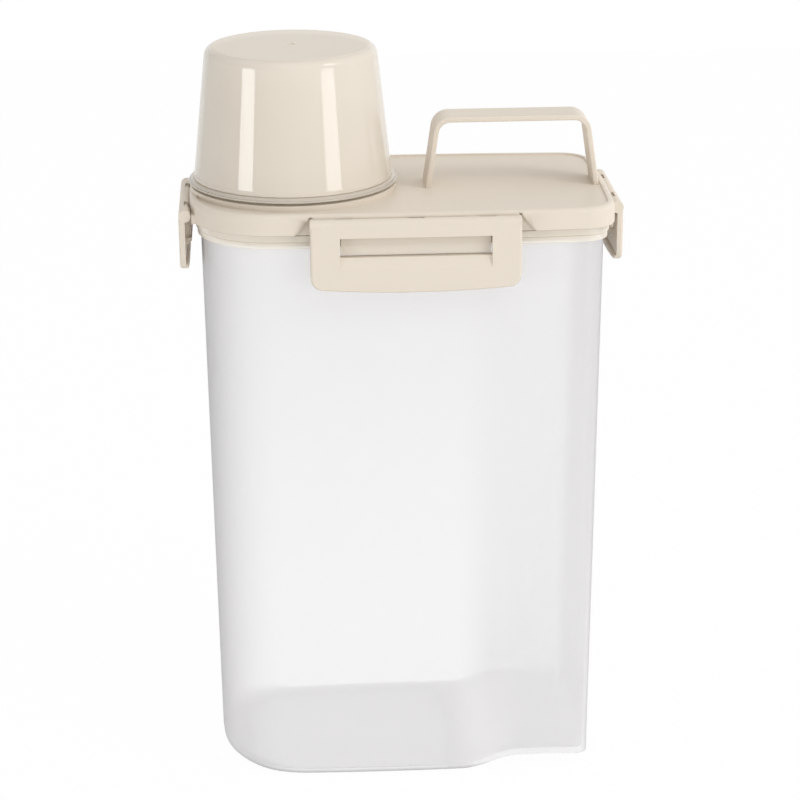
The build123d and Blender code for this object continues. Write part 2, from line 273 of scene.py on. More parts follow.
def blended(nose_rings, side_rings):
    """Rings that are rounder at the base round the nose than along the sides and the tail."""
    for nose_ring, side_ring in zip(nose_rings, side_rings):
        for k, (nose_point, side_point) in enumerate(zip(nose_ring, side_ring)):
            share = min(max((nose_point.x - nose_starts) / (nose_ends - nose_starts), 0), 1)
            nose_ring[k] = nose_point.lerp(side_point, share * share * (3 - 2 * share))
    return nose_rings


base_shares = [base_hole + (1 - base_hole) * step / base_steps for step in range(base_steps)]
outside = blended(outer_rings(nose_base_round), outer_rings(side_base_round))
inside = blended(inner_rings(nose_floor_round), inner_rings(side_floor_round))
outside = [shrunk(outside[0], share) for share in base_shares] + outside
inside += [shrunk(inside[-1], share) for share in reversed(base_shares)]
rings = [lifted(points, 0) for points in outside] + [lifted(points, floor_thick) for points in inside]
shell = bmesh.new()
loft(shell, rings)
outer_faces = len(outside) * len(rings[0])
wall_faces = len(shell.faces)

# Locking tabs, turned down in front of the bead, which the latches hook under
tab_gap = 0.6 * mm
tab_step = 0.5 * mm
tab_wall = 1.5 * mm
tab_top = bead_step + 2.2 * mm
tab_ledge = tab_top - 2.3 * mm
tab_bottom = bead_bottom - 1.7 * mm
tab_web = tab_top - 1.5 * mm
web_reach = 6.5 * mm
long_tab_half = 29.1 * mm
short_tab_half = 15.6 * mm
for latch, place in hinges.items():
    drop = place["at"].z
    tab_section = [
        (tab_gap, tab_top - drop),
        (tab_gap, tab_ledge - drop),
        (tab_gap + tab_step, tab_ledge - drop),
        (tab_gap + tab_step, tab_bottom - drop),
        (tab_gap + tab_wall, tab_bottom - drop),
        (tab_gap + tab_wall, tab_web - drop),
        (web_reach, tab_web - drop),
        (web_reach, tab_top - drop),
    ]
    prism(shell, tab_section, place, long_tab_half if latch in long_latches else short_tab_half)
container = piece("container_wall", shell)


def new_material(name):
    """An empty node material with its nodes and links."""
    material = bpy.data.materials.new(name)
    material.use_nodes = True
    material.node_tree.nodes.clear()
    return material, material.node_tree.nodes, material.node_tree.links


# Skin of moulded plastic, used by every plastic here: cloudy tone, uneven gloss and a fine grain
skin = bpy.data.node_groups.new("moulded_skin", "ShaderNodeTree")
for socket, kind in (("Colour", "NodeSocketColor"), ("Cloud Colour", "NodeSocketColor")):
    skin.interface.new_socket(socket, in_out="INPUT", socket_type=kind)
for socket in ("Cloud Scale", "Grain Scale", "Least Roughness", "Most Roughness"):
    skin.interface.new_socket(socket, in_out="INPUT", socket_type="NodeSocketFloat")
skin.interface.new_socket("Colour", in_out="OUTPUT", socket_type="NodeSocketColor")
skin.interface.new_socket("Roughness", in_out="OUTPUT", socket_type="NodeSocketFloat")
skin.interface.new_socket("Height", in_out="OUTPUT", socket_type="NodeSocketFloat")
nodes, links = skin.nodes, skin.links
given = nodes.new("NodeGroupInput")
result = nodes.new("NodeGroupOutput")
place = nodes.new("ShaderNodeTexCoord")
cloud = nodes.new("ShaderNodeTexNoise")
cloud.inputs["Detail"].default_value = 3
grain = nodes.new("ShaderNodeTexNoise")
grain.inputs["Detail"].default_value = 2
tone = nodes.new("ShaderNodeMix")
tone.data_type = "RGBA"
gloss = nodes.new("ShaderNodeMapRange")
for noise, scale in ((cloud, "Cloud Scale"), (grain, "Grain Scale")):
    links.new(place.outputs["Object"], noise.inputs["Vector"])
    links.new(given.outputs[scale], noise.inputs["Scale"])
links.new(cloud.outputs["Fac"], tone.inputs["Factor"])
links.new(given.outputs["Colour"], tone.inputs["A"])
links.new(given.outputs["Cloud Colour"], tone.inputs["B"])
links.new(cloud.outputs["Fac"], gloss.inputs["Value"])
links.new(given.outputs["Least Roughness"], gloss.inputs["To Min"])
links.new(given.outputs["Most Roughness"], gloss.inputs["To Max"])
links.new(tone.outputs["Result"], result.inputs["Colour"])
links.new(gloss.outputs["Result"], result.inputs["Roughness"])
links.new(grain.outputs["Fac"], result.inputs["Height"])

cloud_scale = 18
bump_height = 0.1 * mm
# Heights over which clear plastics get a painted shade that darkens them towards the top
painted_top_shade_starts = 20 * mm
painted_top_shade_ends = 220 * mm
edge_power = 1.2
back_share = 0.4


def plastic(name, colour, cloud_colour, roughness, grain_scale, grain_depth, clear=None, floor=None, gloss=0.3):
    """A moulded plastic: the shared skin on a principled shader, with a fine bump. A clear one has its opacity square
    on, the opacity that it gains edge on, a painted shade that darkens it edge on and a painted shade that darkens it
    towards the top.
    A floor gets a painted grey shade and the opacity of a thick floor where the mesh says so."""
    material, nodes, links = new_material(name)
    surface = nodes.new("ShaderNodeGroup")
    surface.node_tree = skin
    surface.inputs["Colour"].default_value = (*colour, 1)
    surface.inputs["Cloud Colour"].default_value = (*cloud_colour, 1)
    surface.inputs["Cloud Scale"].default_value = cloud_scale
    surface.inputs["Grain Scale"].default_value = grain_scale
    surface.inputs["Least Roughness"].default_value = roughness[0]
    surface.inputs["Most Roughness"].default_value = roughness[1]
    bump = nodes.new("ShaderNodeBump")
    bump.inputs["Strength"].default_value = grain_depth
    bump.inputs["Distance"].default_value = bump_height
    shader = nodes.new("ShaderNodeBsdfPrincipled")
    shader.inputs["Specular IOR Level"].default_value = gloss
    colour_from = surface.outputs["Colour"]
    if clear:
        plain, edge_gain, painted_edge_shade, painted_top_shade = clear
        spot = nodes.new("ShaderNodeTexCoord")
        along = nodes.new("ShaderNodeSeparateXYZ")
        links.new(spot.outputs["Object"], along.inputs["Vector"])
        # Painted shade: the colour darkens from the base towards the top
        upwards = nodes.new("ShaderNodeMapRange")
        upwards.inputs["From Min"].default_value = painted_top_shade_starts
        upwards.inputs["From Max"].default_value = painted_top_shade_ends
        links.new(along.outputs["Z"], upwards.inputs["Value"])
        topped = nodes.new("ShaderNodeMix")
        topped.data_type = "RGBA"
        topped.blend_type = "MULTIPLY"
        topped.inputs["B"].default_value = (painted_top_shade, painted_top_shade, painted_top_shade, 1)
        links.new(upwards.outputs["Result"], topped.inputs["Factor"])
        links.new(colour_from, topped.inputs["A"])
        colour_from = topped.outputs["Result"]
        least = nodes.new("ShaderNodeValue")
        least.outputs["Value"].default_value = plain
        least_from = least.outputs["Value"]
        if floor:
            # Painted grey shade and more opacity on the base, where the mesh's attribute says so
            thick_and_shaded = nodes.new("ShaderNodeAttribute")
            thick_and_shaded.attribute_name = "floor_thickness_and_shade"
            painted_floor_shade = nodes.new("ShaderNodeMix")
            painted_floor_shade.data_type = "RGBA"
            painted_floor_shade.inputs["B"].default_value = (*floor[0], 1)
            floor_least = nodes.new("ShaderNodeMix")
            floor_least.inputs["B"].default_value = floor[1]
            for mix, source in ((painted_floor_shade, colour_from), (floor_least, least_from)):
                links.new(thick_and_shaded.outputs["Fac"], mix.inputs["Factor"])
                links.new(source, mix.inputs["A"])
            colour_from, least_from = painted_floor_shade.outputs["Result"], floor_least.outputs["Result"]
        edge = nodes.new("ShaderNodeLayerWeight")
        edge.inputs["Blend"].default_value = 0.5
        steep = nodes.new("ShaderNodeMath")
        steep.operation = "POWER"
        steep.inputs[1].default_value = edge_power
        most = nodes.new("ShaderNodeMath")
        most.inputs[1].default_value = edge_gain
        opacity = nodes.new("ShaderNodeMapRange")
        links.new(edge.outputs["Facing"], steep.inputs[0])
        links.new(steep.outputs[0], opacity.inputs["Value"])
        links.new(least_from, most.inputs[0])
        links.new(least_from, opacity.inputs["To Min"])
        links.new(most.outputs[0], opacity.inputs["To Max"])
        seen = nodes.new("ShaderNodeNewGeometry")
        from_front = nodes.new("ShaderNodeMapRange")
        from_front.inputs["To Min"].default_value = 1
        from_front.inputs["To Max"].default_value = back_share
        links.new(seen.outputs["Backfacing"], from_front.inputs["Value"])
        shown = nodes.new("ShaderNodeMath")
        shown.operation = "MULTIPLY"
        links.new(opacity.outputs["Result"], shown.inputs[0])
        links.new(from_front.outputs["Result"], shown.inputs[1])
        links.new(shown.outputs[0], shader.inputs["Alpha"])
        edge_share = nodes.new("ShaderNodeMath")
        edge_share.operation = "MULTIPLY"
        links.new(steep.outputs[0], edge_share.inputs[0])
        links.new(from_front.outputs["Result"], edge_share.inputs[1])
        # Painted shade: the colour is darkened edge on, less on faces seen from behind
        darker = nodes.new("ShaderNodeMix")
        darker.data_type = "RGBA"
        darker.blend_type = "MULTIPLY"
        darker.inputs["B"].default_value = (painted_edge_shade, painted_edge_shade, painted_edge_shade, 1)
        links.new(edge_share.outputs[0], darker.inputs["Factor"])
        links.new(colour_from, darker.inputs["A"])
        colour_from = darker.outputs["Result"]
    output = nodes.new("ShaderNodeOutputMaterial")
    links.new(surface.outputs["Height"], bump.inputs["Height"])
    links.new(colour_from, shader.inputs["Base Color"])
    links.new(surface.outputs["Roughness"], shader.inputs["Roughness"])
    links.new(bump.outputs["Normal"], shader.inputs["Normal"])
    links.new(shader.outputs["BSDF"], output.inputs["Surface"])
    return material


# Painted shade: the grey of the container's base
painted_floor_shade = (0.77, 0.77, 0.785)
frosted = {"roughness": (0.35, 0.45), "grain_scale": 900, "grain_depth": 0.1}
frosted_tones = [
    plastic("frosted_outer_wall", colour=(0.98, 0.96, 0.965), cloud_colour=(0.96, 0.94, 0.945),
            clear=(0.37, 0.6, 0.42, 0.8), floor=(painted_floor_shade, 0.37), **frosted),
    plastic("frosted_inner_wall", colour=(0.92, 0.90, 0.91), cloud_colour=(0.90, 0.885, 0.895),
            roughness=(0.25, 0.32), grain_scale=600, grain_depth=0.05,
            clear=(0.08, 0.2, 0.85, 0.9), floor=(painted_floor_shade, 0.6)),
    # Painted beige on the bead and the tabs: lid and latch colour shown on clear plastic, the bead lightened against
    # shade
    plastic("frosted_bead", colour=(0.95, 0.885, 0.775), cloud_colour=(0.92, 0.855, 0.745),
            clear=(0.6, 0.35, 0.9, 1), **frosted),
    plastic("frosted_tab", colour=(0.82, 0.745, 0.635), cloud_colour=(0.79, 0.715, 0.605),
            clear=(0.8, 0.15, 0.9, 1), **frosted),
]
for tone in frosted_tones:
    container.data.materials.append(tone)
# The wall is polished inside. The bead is painted a light beige, a painted show-through of the lid lifted above the
# shade under the skirt, and the tabs a darker beige, a painted reflection of the latches round them
for number, face in enumerate(container.data.polygons):
    if number >= wall_faces:
        face.material_index = 3
    elif face.center.z > bead_bottom - moulded_edge:
        face.material_index = 2
    elif number >= outer_faces:
        face.material_index = 1
# The floor is thick and more opaque than the wall, with a painted grey shade where the base stands on the ground;
# both run into the wall softly round the nose, and fade over the slopes and the crest of the arch
side_floor_starts, side_floor_full = 0.2, 0.5
nose_floor_starts, nose_floor_full = 0.35, 1
slope_fading, arch_fading = 0.5, 0.3
container.data.attributes.new("floor_thickness_and_shade", "FLOAT", "POINT")
for vertex, value in zip(container.data.vertices, container.data.attributes["floor_thickness_and_shade"].data):
    flat = abs(vertex.normal.z)
    round_nose = min(max((vertex.co.x - nose_ends) / (nose_starts - nose_ends), 0), 1)
    first = side_floor_starts + (nose_floor_starts - side_floor_starts) * round_nose
    last = side_floor_full + (nose_floor_full - side_floor_full) * round_nose
    share = min(max((flat - first) / (last - first), 0), 1) if vertex.co.z < 2 * nose_base_round else 0
    climb = min(max((vertex.co.x - arch_start) / (arch_crest - arch_start), 0), 1)
    value.value = share * (1 - slope_fading * sin(pi * climb) ** 2) * (1 - arch_fading * climb)
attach(container, "container")
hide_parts("container_body")

# Lid seal: a soft silicone ring that follows the container's plan. It lies in the lid's channel, and the closed
# latches press it on the container's rim.
seal_thick = 2.4 * mm
seal_out = 1.7 * mm
seal_in = -2.4 * mm
seal_edge = 0.6 * mm
seal_section = rounded([
    (0, rim_height, 0),
    (seal_out, rim_height, seal_edge),
    (seal_out, rim_height + seal_thick, seal_edge),
    (seal_in, rim_height + seal_thick, seal_edge),
    (seal_in, rim_height, seal_edge),
    (-wall / 2, rim_height, 0),
])
shell = bmesh.new()
loft(shell, [ring(spot.x, spot.y) for spot in seal_section], closed=True)
lid_seal = piece("lid_seal", shell)
silicone = plastic("white_silicone", colour=(0.86, 0.86, 0.85), cloud_colour=(0.82, 0.82, 0.81),
                   roughness=(0.45, 0.58), grain_scale=700, grain_depth=0.2)
lid_seal.data.materials.append(silicone)
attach(lid_seal, "container")
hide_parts("lid_gasket")

# Lid: one moulding in opaque beige plastic. A rounded skirt hangs round the container's rim, the panel is
# sunk a little below its edge, and the pouring spout with its slanted lip stands up near the nose.
plate_bottom = rim_height + 2.4 * mm
panel_top = plate_bottom + 2.2 * mm
lid_top = panel_top + 0.8 * mm
skirt_bottom = lid_top - 8.5 * mm
overhang = 4 * mm
skirt = 2.2 * mm
edge_round = 2 * mm
rim_flat = 0.8 * mm
plug_gap = 0.7 * mm
plug_rib = 1.6 * mm
plug_bottom = plate_bottom - 11.5 * mm
plate_start = 1 * mm
panel_start = 1.5 * mm
cup_low, cup_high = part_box("measuring_cup")
cup_axis = (cup_low + cup_high) / 2
spout_radius = 30 * mm
spout_wall = 1.8 * mm
spout_top = panel_top + 35 * mm
spout_apron = 4 * mm
lip_slope = radians(12)


def circle(radius, height, like):
    """A ring round the cup's axis, each point facing the same point of another ring."""
    points = []
    for point in like:
        away = Vector((point.x - cup_axis.x, point.y)).normalized() * radius
        points.append(Vector((cup_axis.x + away.x, away.y, height)))
    return points


plug_out = -wall - plug_gap
plug_in = plug_out - plug_rib
panel_edge = overhang - edge_round - rim_flat
skirt_section = rounded([
    (plug_in - plate_start, plate_bottom, 0),
    (plug_in, plate_bottom, moulded_edge),
    (plug_in, plug_bottom, moulded_edge),
    (plug_out, plug_bottom, moulded_edge),
    (plug_out, plate_bottom, moulded_edge),
    (overhang - skirt, plate_bottom, moulded_edge),
    (overhang - skirt, skirt_bottom, moulded_edge),
    (overhang, skirt_bottom, moulded_edge),
    (overhang, lid_top, edge_round),
    (panel_edge, lid_top, moulded_edge),
    (panel_edge, panel_top, moulded_edge),
    (panel_edge - panel_start, panel_top, 0),
], steps=6)
rings = [ring(spot.x, spot.y) for spot in skirt_section]
like = rings[-1]
spout_section = rounded([
    (spout_radius + spout_apron, panel_top, 0),
    (spout_radius, panel_top, 2 * moulded_edge),
    (spout_radius, spout_top, moulded_edge),
    (spout_radius - spout_wall, spout_top, moulded_edge),
    (spout_radius - spout_wall, plate_bottom, moulded_edge),
    (spout_radius, plate_bottom, 0),
], steps=4)
for spot in spout_section:
    points = circle(spot.x, spot.y, like)
    tilt = max(0, spot.y - panel_top) / (spout_top - panel_top) * tan(lip_slope)
    for point in points:
        point.z -= (point.x - cup_axis.x) * tilt
    rings.append(points)
shell = bmesh.new()
loft(shell, rings, closed=True)
lid = piece("lid_moulding", shell)

# Seats in the skirt, hollow behind the hinge barrels and flat behind the flaps, with a wedge at each end of the
# long ones
barrel_radius = 2.4 * mm
hinge_gap = 0.3 * mm
seat_margin = 0.4 * mm
seat_slack = 0.2 * mm
seat_depth = barrel_radius + hinge_gap
wedge_reach = 6 * mm
wedge_depth = seat_depth + 1.2 * mm
wedge_overlap = 1 * mm
seat_top = barrel_radius + seat_slack
seat_floor = -2 * seat_depth
seat_steps = 16
long_latch_half = 41 * mm
short_latch_half = 27 * mm
seat_turns = [pi * step / seat_steps for step in range(seat_steps + 1)]
seat = [(seat_top * cos(turn), seat_top * sin(turn)) for turn in seat_turns]
seat += [(-seat_top, seat_floor), (seat_depth, seat_floor), (seat_depth, 0)]
seats, wedges = bmesh.new(), bmesh.new()
for latch, place in hinges.items():
    seat_reach = (long_latch_half if latch in long_latches else short_latch_half) + seat_margin
    prism(seats, seat, place, seat_reach)
    corners = [
        (seat_reach - wedge_overlap, seat_top),
        (seat_reach + wedge_reach, seat_floor),
        (seat_reach - wedge_overlap, seat_floor),
    ]
    for side in ((-1, 1) if latch in long_latches else ()):
        wedge = [place["at"] + place["along"] * side * u + Vector((0, 0, v)) for u, v in corners]
        loft(wedges, [[spot + place["inward"] * reach for spot in wedge] for reach in (-wedge_depth, wedge_depth)])
cutters = [piece("seat_cutter", seats), piece("wedge_cutter", wedges)]
for order, cutter in enumerate(cutters):
    cut = lid.modifiers.new(cutter.name, "BOOLEAN")
    cut.object = cutter
    cut.solver = "EXACT"
    lid.modifiers.move(order + 1, order)


def settle(thing):
    """Turns an object with its modifiers into a plain mesh."""
    ready = bpy.context.evaluated_depsgraph_get()
    mesh = bpy.data.meshes.new_from_object(thing.evaluated_get(ready), depsgraph=ready)
    thing.modifiers.clear()
    thing.data = mesh


settle(lid)
for cutter in cutters:
    bpy.data.objects.remove(cutter)

# Collar and ledge under the cup, with the groove for the seal, and the bracket on the rounded nose
collar_radius = 36.6 * mm
collar_wall = 2.4 * mm
collar_top = panel_top + 7.8 * mm
ledge_radius = 41.4 * mm
ledge_top = panel_top + 2.7 * mm
ledge_edge = panel_top + 2.3 * mm
seal_groove = 1 * mm
seal_height = 2.4 * mm
seal_middle = (panel_top + collar_top) / 2
turn_steps = 128
buried = panel_top - 0.6 * mm
collar_section = rounded([
    (collar_radius - collar_wall, buried, 0),
    (collar_radius - collar_wall, collar_top, moulded_edge),
    (collar_radius, collar_top, moulded_edge),
    (collar_radius, seal_middle + seal_height / 2, moulded_edge / 2),
    (collar_radius - seal_groove, seal_middle + seal_height / 2, 0),
    (collar_radius - seal_groove, ledge_top, 0),
    (ledge_radius, ledge_edge, moulded_edge),
    (ledge_radius, buried, 0),
])
turns = [2 * pi * k / turn_steps for k in range(turn_steps)]
round_ring = [Vector((cup_axis.x + cos(turn), sin(turn), 0)) for turn in turns]
shell = bmesh.new()
loft(shell, [circle(spot.x, spot.y, round_ring) for spot in collar_section], closed=True)
bracket_depth = 14.5 * mm
nose = hinges["left_latch"]
bracket_top = seat_margin
bracket_bottom = skirt_bottom - nose["at"].z
bracket = [
    (seat_depth, bracket_bottom),
    (seat_depth, bracket_top),
    (seat_depth + bracket_depth, bracket_top),
    (seat_depth + bracket_depth, bracket_bottom),
]
prism(shell, bracket, nose, short_latch_half)
collar = piece("lid_collar", shell)
beige = plastic("beige_lid_plastic", colour=(0.765, 0.692, 0.593), cloud_colour=(0.745, 0.667, 0.568),
                roughness=(0.38, 0.46), grain_scale=1400, grain_depth=0.2, gloss=0.1)
for part in (lid, collar):
    part.data.materials.clear()
    part.data.materials.append(beige)
    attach(part, "container")
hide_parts("lid")

# Hinge clips: open rings moulded on the lid on slanted necks, three behind each long latch and two behind
# each short one. The latch's rod is pushed in through the mouth of the ring.
clip_bore = 0.96 * mm
clip_radius = 1.5 * mm
clip_width = 6 * mm
clip_mouth = radians(75)
clip_mouth_middle = radians(135)
neck_wall = 1.2 * mm
neck_start = 1.2 * mm
neck_length = 3.5 * mm
neck_angle = radians(38)
clip_steps = 25
long_clip_places = (-28 * mm, 0, 28 * mm)
short_clip_places = (-15 * mm, 15 * mm)


def shape_tree(name, *sizes):
    """A geometry node tree with named sizes, which ends in realized instances with a material."""
    tree = bpy.data.node_groups.new(name, "GeometryNodeTree")
    tree.interface.new_socket("Geometry", in_out="INPUT", socket_type="NodeSocketGeometry")
    for label in sizes:
        tree.interface.new_socket(label, in_out="INPUT", socket_type="NodeSocketFloat")
    tree.interface.new_socket("Material", in_out="INPUT", socket_type="NodeSocketMaterial")
    tree.interface.new_socket("Geometry", in_out="OUTPUT", socket_type="NodeSocketGeometry")
    given = tree.nodes.new("NodeGroupInput")
    realize = tree.nodes.new("GeometryNodeRealizeInstances")
    coat = tree.nodes.new("GeometryNodeSetMaterial")
    result = tree.nodes.new("NodeGroupOutput")
    tree.links.new(realize.outputs["Geometry"], coat.inputs["Geometry"])
    tree.links.new(given.outputs["Material"], coat.inputs["Material"])
    tree.links.new(coat.outputs["Geometry"], result.inputs["Geometry"])
    return tree, given, realize


def grown(name, tree, mesh, sizes):
    """Runs a tree on a mesh with its sizes and keeps the result as a plain mesh."""
    thing = bpy.data.objects.new(name, mesh)
    bpy.context.scene.collection.objects.link(thing)
    shaper = thing.modifiers.new("shaper", "NODES")
    shaper.node_group = tree
    for socket in tree.interface.items_tree:
        if socket.in_out == "INPUT" and socket.name in sizes:
            shaper[socket.identifier] = sizes[socket.name]
    settle(thing)
    shape = bmesh.new()
    shape.from_mesh(thing.data)
    smooth_faces(thing, shape)
    return thing


clips_tree, given, realize = shape_tree(
    "hinge_clips", "Ring Radius", "Ring Wall", "Ring Start", "Ring Sweep", "Width",
    "Neck Reach", "Neck Length", "Neck Wall",
)
nodes, link = clips_tree.nodes, clips_tree.links.new
arc = nodes.new("GeometryNodeCurveArc")
arc.inputs["Resolution"].default_value = clip_steps
link(given.outputs["Ring Radius"], arc.inputs["Radius"])
link(given.outputs["Ring Start"], arc.inputs["Start Angle"])
link(given.outputs["Ring Sweep"], arc.inputs["Sweep Angle"])
upright = nodes.new("GeometryNodeTransform")
upright.inputs["Rotation"].default_value = (pi / 2, 0, 0)
link(arc.outputs["Curve"], upright.inputs["Geometry"])
band = nodes.new("GeometryNodeCurvePrimitiveQuadrilateral")
link(given.outputs["Width"], band.inputs["Width"])
link(given.outputs["Ring Wall"], band.inputs["Height"])
hoop = nodes.new("GeometryNodeCurveToMesh")
hoop.inputs["Fill Caps"].default_value = True
link(upright.outputs["Geometry"], hoop.inputs["Curve"])
link(band.outputs["Curve"], hoop.inputs["Profile Curve"])
neck_size = nodes.new("ShaderNodeCombineXYZ")
link(given.outputs["Neck Length"], neck_size.inputs["X"])
link(given.outputs["Width"], neck_size.inputs["Y"])
link(given.outputs["Neck Wall"], neck_size.inputs["Z"])
neck = nodes.new("GeometryNodeMeshCube")
link(neck_size.outputs["Vector"], neck.inputs["Size"])
neck_reach = nodes.new("ShaderNodeCombineXYZ")
link(given.outputs["Neck Reach"], neck_reach.inputs["X"])
out = nodes.new("GeometryNodeTransform")
link(neck.outputs["Mesh"], out.inputs["Geometry"])
link(neck_reach.outputs["Vector"], out.inputs["Translation"])
slant = nodes.new("GeometryNodeTransform")
slant.inputs["Rotation"].default_value = (0, neck_angle, 0)
link(out.outputs["Geometry"], slant.inputs["Geometry"])
whole_clip = nodes.new("GeometryNodeJoinGeometry")
link(hoop.outputs["Mesh"], whole_clip.inputs["Geometry"])
link(slant.outputs["Geometry"], whole_clip.inputs["Geometry"])
facing = nodes.new("GeometryNodeInputNamedAttribute")
facing.data_type = "FLOAT_VECTOR"
facing.inputs["Name"].default_value = "inward"
turn = nodes.new("FunctionNodeAxesToRotation")
turn.primary_axis = "X"
turn.secondary_axis = "Z"
turn.inputs["Secondary Axis"].default_value = (0, 0, 1)
link(facing.outputs["Attribute"], turn.inputs["Primary Axis"])
each = nodes.new("GeometryNodeInstanceOnPoints")
link(given.outputs["Geometry"], each.inputs["Points"])
link(whole_clip.outputs["Geometry"], each.inputs["Instance"])
link(turn.outputs["Rotation"], each.inputs["Rotation"])
link(each.outputs["Instances"], realize.inputs["Geometry"])
spots, inwards = [], []
for latch, place in hinges.items():
    for along in (long_clip_places if latch in long_latches else short_clip_places):
        spots.append(place["at"] + place["along"] * along)
        inwards.append(place["inward"])
mesh = bpy.data.meshes.new("hinge_clips")
mesh.from_pydata(spots, [], [])
mesh.attributes.new("inward", "FLOAT_VECTOR", "POINT")
for value, inward in zip(mesh.attributes["inward"].data, inwards):
    value.vector = inward
clips = grown("hinge_clips", clips_tree, mesh, {
    "Ring Radius": (clip_bore + clip_radius) / 2,
    "Ring Wall": clip_radius - clip_bore,
    "Ring Start": clip_mouth_middle + clip_mouth / 2,
    "Ring Sweep": 2 * pi - clip_mouth,
    "Width": clip_width,
    "Neck Reach": neck_start + neck_length / 2,
    "Neck Length": neck_length,
    "Neck Wall": neck_wall,
    "Material": beige,
})
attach(clips, "container")

# Spout seal: a silicone ring in the collar's groove. The cup's wall slides over it, and it keeps the grain dry
# while the cup is on.
ring_in = collar_radius - 0.95 * mm
ring_out = 37.7 * mm
ring_low = seal_middle - seal_height / 2
ring_top = seal_middle + seal_height / 2
ring_edge = 0.8 * mm
merge_distance = 0.01 * mm

turned_tree, given, realize = shape_tree("turned_moulding", "Radius", "Steps", "Axis X")
nodes, link = turned_tree.nodes, turned_tree.links.new
profile = nodes.new("GeometryNodeMeshToCurve")
link(given.outputs["Geometry"], profile.inputs["Mesh"])
path = nodes.new("GeometryNodeCurvePrimitiveCircle")
link(given.outputs["Steps"], path.inputs["Resolution"])
link(given.outputs["Radius"], path.inputs["Radius"])
sweep = nodes.new("GeometryNodeCurveToMesh")
link(path.outputs["Curve"], sweep.inputs["Curve"])
link(profile.outputs["Curve"], sweep.inputs["Profile Curve"])
axis_place = nodes.new("ShaderNodeCombineXYZ")
link(given.outputs["Axis X"], axis_place.inputs["X"])
placed = nodes.new("GeometryNodeTransform")
link(sweep.outputs["Mesh"], placed.inputs["Geometry"])
link(axis_place.outputs["Vector"], placed.inputs["Translation"])
closed = nodes.new("GeometryNodeMergeByDistance")
closed.inputs["Distance"].default_value = merge_distance
link(placed.outputs["Geometry"], closed.inputs["Geometry"])
link(closed.outputs["Geometry"], realize.inputs["Geometry"])


def turned(name, section, material, ring_shaped=False):
    """A moulding turned about the cup's axis, from a section of (radius, height) points."""
    reach = max(spot.x for spot in section)
    edges = [(k, k + 1) for k in range(len(section) - 1)]
    if ring_shaped:
        edges.append((len(section) - 1, 0))
    mesh = bpy.data.meshes.new(name)
    mesh.from_pydata([(spot.x - reach, -spot.y, 0) for spot in section], edges, [])
    sizes = {"Radius": reach, "Steps": turn_steps, "Axis X": cup_axis.x, "Material": material}
    return grown(name, turned_tree, mesh, sizes)


spout_seal = turned("spout_seal", rounded([
    (ring_in, seal_middle, 0),
    (ring_in, ring_low, ring_edge / 4),
    (ring_out, ring_low, ring_edge),
    (ring_out, ring_top, ring_edge),
    (ring_in, ring_top, ring_edge / 4),
    (ring_in, seal_middle + ring_edge, 0),
]), silicone, ring_shaped=True)
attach(spout_seal, "container")
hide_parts("spout_gasket")

# Measuring cup: a thin polished moulding in translucent beige plastic, turned over the spout as its cover.
# Its wall narrows to a rounded top with the small mark of the mould's gate, and its rim steps out twice.
cup_foot_radius = 39.6 * mm
cup_top_radius = 34.1 * mm
cup_rim_radius = cup_high.x - cup_axis.x
cup_step = 0.8 * mm
cup_rim_slant = 0.18 * mm
cup_rim_low = cup_low.z + 0.4 * mm
cup_rim_mid = cup_low.z + 1.2 * mm
cup_rim_top = cup_low.z + 2 * mm
cup_groove = 0.5 * mm
cup_flare = 0.3 * mm
cup_flare_top = cup_rim_top + 2.2 * mm
cup_wall = 1.6 * mm
cup_roof = cup_high.z - 1.8 * mm
cup_edge = 4 * mm
gate_radius = 1.6 * mm
gate_floor = cup_high.z - 0.4 * mm
cup_lip = 0.4 * mm
flat_top = 0.9
cup_section = rounded([
    (0, gate_floor, 0),
    (gate_radius, gate_floor, moulded_edge / 3),
    (gate_radius, cup_high.z, moulded_edge / 3),
    (cup_top_radius, cup_high.z, cup_edge),
    (cup_foot_radius, cup_flare_top, 0),
    (cup_foot_radius + cup_flare, cup_flare_top - cup_flare, 0),
    (cup_foot_radius + cup_flare, cup_rim_top + cup_groove, moulded_edge / 3),
    (cup_foot_radius - cup_groove, cup_rim_top + cup_groove / 2, 0),
    (cup_rim_radius - cup_step - cup_rim_slant, cup_rim_top, moulded_edge),
    (cup_rim_radius - cup_step, cup_rim_mid, moulded_edge / 2),
    (cup_rim_radius - cup_rim_slant, cup_rim_mid, moulded_edge),
    (cup_rim_radius, cup_rim_low, moulded_edge),
    (cup_foot_radius - cup_wall + cup_lip, cup_rim_low, 0),
    (cup_foot_radius - cup_wall + cup_lip, cup_low.z, 0),
    (cup_foot_radius - cup_wall, cup_low.z, 0),
    (cup_foot_radius - cup_wall, cup_rim_top, moulded_edge),
    (cup_top_radius - cup_wall, cup_roof, cup_edge - cup_wall),
    (0, cup_roof, 0),
], steps=8)
polished = {"roughness": (0.03, 0.06), "grain_scale": 300, "grain_depth": 0.02, "gloss": 0.5}
cup_side = plastic("polished_cup_plastic", colour=(0.87, 0.795, 0.685), cloud_colour=(0.85, 0.77, 0.66),
                   clear=(0.75, 0.2, 0.75, 1), **polished)
cup_top = plastic("satin_cup_top", colour=(0.87, 0.79, 0.68), cloud_colour=(0.85, 0.77, 0.66),
                  roughness=(0.3, 0.4), grain_scale=600, grain_depth=0.1, clear=(0.8, 0.1, 0.9, 1), gloss=0.1)
# Painted shade: the rim's faces get a darker beige than the wall
cup_rim = plastic("shaded_cup_rim", colour=(0.67, 0.61, 0.52), cloud_colour=(0.65, 0.59, 0.5),
                  clear=(0.8, 0.15, 0.75, 1), **polished)
cup = turned("measuring_cup_moulding", cup_section, cup_side)
cup.data.materials.append(cup_top)
cup.data.materials.append(cup_rim)
for face in cup.data.polygons:
    if face.normal.z > flat_top and face.center.z > cup_roof:
        face.material_index = 1
    elif face.center.z < cup_rim_top:
        face.material_index = 2
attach(cup, "measuring_cup")
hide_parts("measuring_cup")
